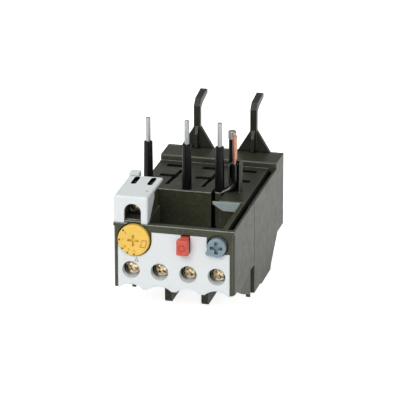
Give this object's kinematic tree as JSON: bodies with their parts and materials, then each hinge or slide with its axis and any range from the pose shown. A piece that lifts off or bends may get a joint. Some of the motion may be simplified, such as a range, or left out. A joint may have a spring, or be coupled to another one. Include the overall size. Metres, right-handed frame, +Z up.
{
  "type": "thermal overload relay",
  "caption": "Thermal overload relay that plugs under a contactor and opens its control circuit when the motor draws too much current.",
  "frame": {"origin": "middle of the footprint of the bounding box, on the plane it rests on", "axes": "+X to the right seen from the front, +Y from the front plate to the rear hooks, +Z up along the plug pins"},
  "size_m": [0.045, 0.0966, 0.0636],
  "materials": {
    "black_housing": "fine textured moulding",
    "white_plastic": "satin moulding",
    "yellow_plastic": "satin moulding",
    "red_plastic": "satin moulding",
    "blue_grey_plastic": "satin moulding",
    "natural_plastic": "unpigmented moulding",
    "black_sleeve": "smooth flexible insulation",
    "pale_insert": "satin",
    "passivated_steel": "yellow passivated",
    "zinc_steel": "zinc plated",
    "spring_steel": "drawn wire",
    "tinned_copper": "tin plated copper",
    "copper": "bare copper",
    "contact_alloy": "silver plated copper alloy",
    "bimetal_strip": "rolled strip",
    "heater_alloy": "oxidised ribbon"
  },
  "bodies": {
    "relay": {"housing_base": "black_housing", "deck_cover": "black_housing", "rear_cover": "black_housing", "front_plate": "white_plastic", "terminal_cap": "white_plastic", "stop_spring": "spring_steel", "reset_spring": "spring_steel", "aux_terminal_screws": "passivated_steel", "aux_clamp_plates": "zinc_steel", "main_terminal_screws": "passivated_steel", "main_clamp_plates": "zinc_steel", "trip_axle": "zinc_steel", "aux_post": "black_sleeve", "aux_post_cap": "zinc_steel", "link_wire_core": "copper", "link_wire_insulation": "black_sleeve", "label_insert": "pale_insert", "coil_terminal_screw": "passivated_steel", "coil_clamp_plate": "zinc_steel", "coil_terminal_plate": "tinned_copper", "fixed_contact_1": "tinned_copper", "fixed_contact_2": "tinned_copper", "fixed_contact_3": "tinned_copper", "fixed_contact_4": "tinned_copper", "terminal_bar_left": "tinned_copper", "phase_pin_left": "tinned_copper", "pin_sleeve_left": "black_sleeve", "terminal_bar_centre": "tinned_copper", "phase_pin_centre": "tinned_copper", "pin_sleeve_centre": "black_sleeve", "terminal_bar_right": "tinned_copper", "phase_pin_right": "tinned_copper", "pin_sleeve_right": "black_sleeve"},
    "setting_dial": {"setting_dial": "yellow_plastic"},
    "setting_slider": {"setting_slider": "natural_plastic"},
    "stop_button": {"stop_button": "red_plastic"},
    "reset_plunger": {"reset_plunger": "natural_plastic"},
    "reset_knob": {"reset_knob": "blue_grey_plastic"},
    "overload_slider": {"overload_slider": "natural_plastic", "differential_lever": "natural_plastic"},
    "phase_loss_slider": {"phase_loss_slider": "natural_plastic"},
    "trip_lever": {"trip_lever": "natural_plastic", "compensation_strip": "bimetal_strip"},
    "contact_carrier": {"contact_carrier": "natural_plastic", "nc_bridge": "contact_alloy", "no_bridge": "contact_alloy"},
    "bimetal_left": {"bimetal_left": "bimetal_strip", "heater_left": "heater_alloy"},
    "bimetal_centre": {"bimetal_centre": "bimetal_strip", "heater_centre": "heater_alloy"},
    "bimetal_right": {"bimetal_right": "bimetal_strip", "heater_right": "heater_alloy"}
  },
  "joints": [
    {"name": "dial_turn", "type": "hinge", "parent": "relay", "child": "setting_dial", "pos_m": [-0.01465, -0.04585, 0.03106], "axis": [0, 1, 0], "range_deg": [-120, 120]},
    {"name": "setting_shift", "type": "slide", "parent": "relay", "child": "setting_slider", "axis": [-1, 0, 0], "range_m": [-0.0006, 0.0006]},
    {"name": "stop_press", "type": "slide", "parent": "relay", "child": "stop_button", "axis": [0, 1, 0], "range_m": [0, 0.0016], "stiffness_N_per_m": 900, "springref_m": -0.0016, "deforming": ["stop_spring"]},
    {"name": "reset_press", "type": "slide", "parent": "relay", "child": "reset_plunger", "axis": [0, 1, 0], "range_m": [0, 0.0015], "stiffness_N_per_m": 900, "springref_m": -0.0016, "deforming": ["reset_spring"]},
    {"name": "reset_mode_turn", "type": "hinge", "parent": "reset_plunger", "child": "reset_knob", "pos_m": [0.01635, -0.04675, 0.03115], "axis": [0, 1, 0], "range_deg": [0, 90]},
    {"name": "overload_shift", "type": "slide", "parent": "relay", "child": "overload_slider", "axis": [-1, 0, 0], "range_m": [0, 0.0011], "stiffness_N_per_m": 400, "springref_m": -0.0002},
    {"name": "phase_loss_shift", "type": "slide", "parent": "relay", "child": "phase_loss_slider", "axis": [-1, 0, 0], "range_m": [0, 0.00111]},
    {"name": "trip_lever_turn", "type": "hinge", "parent": "relay", "child": "trip_lever", "pos_m": [-0.014, -0.00215, 0.0138], "axis": [0, 0, 1], "range_deg": [0, 4.94]},
    {"name": "carrier_shift", "type": "slide", "parent": "relay", "child": "contact_carrier", "axis": [0, 1, 0], "range_m": [0, 0.00121]},
    {"name": "bimetal_left_bend", "type": "hinge", "parent": "relay", "child": "bimetal_left", "pos_m": [-0.0138, 0.01065, 0.005], "axis": [0, -1, 0], "range_deg": [0, 2.74]},
    {"name": "bimetal_centre_bend", "type": "hinge", "parent": "relay", "child": "bimetal_centre", "pos_m": [0, 0.01065, 0.005], "axis": [0, -1, 0], "range_deg": [0, 2.74]},
    {"name": "bimetal_right_bend", "type": "hinge", "parent": "relay", "child": "bimetal_right", "pos_m": [0.0138, 0.01065, 0.005], "axis": [0, -1, 0], "range_deg": [0, 2.74]}
  ],
  "couplings": [
    {"joint": "setting_shift", "follows": "dial_turn", "m_per_rad": 0.00028648},
    {"joint": "phase_loss_shift", "follows": "overload_shift", "ratio": 1},
    {"joint": "trip_lever_turn", "follows": "overload_shift", "rad_per_m": 78.125},
    {"joint": "carrier_shift", "follows": "overload_shift", "ratio": 1.0938},
    {"joint": "bimetal_left_bend", "follows": "overload_shift", "rad_per_m": 43.103},
    {"joint": "bimetal_centre_bend", "follows": "overload_shift", "rad_per_m": 43.103},
    {"joint": "bimetal_right_bend", "follows": "overload_shift", "rad_per_m": 43.103}
  ]
}
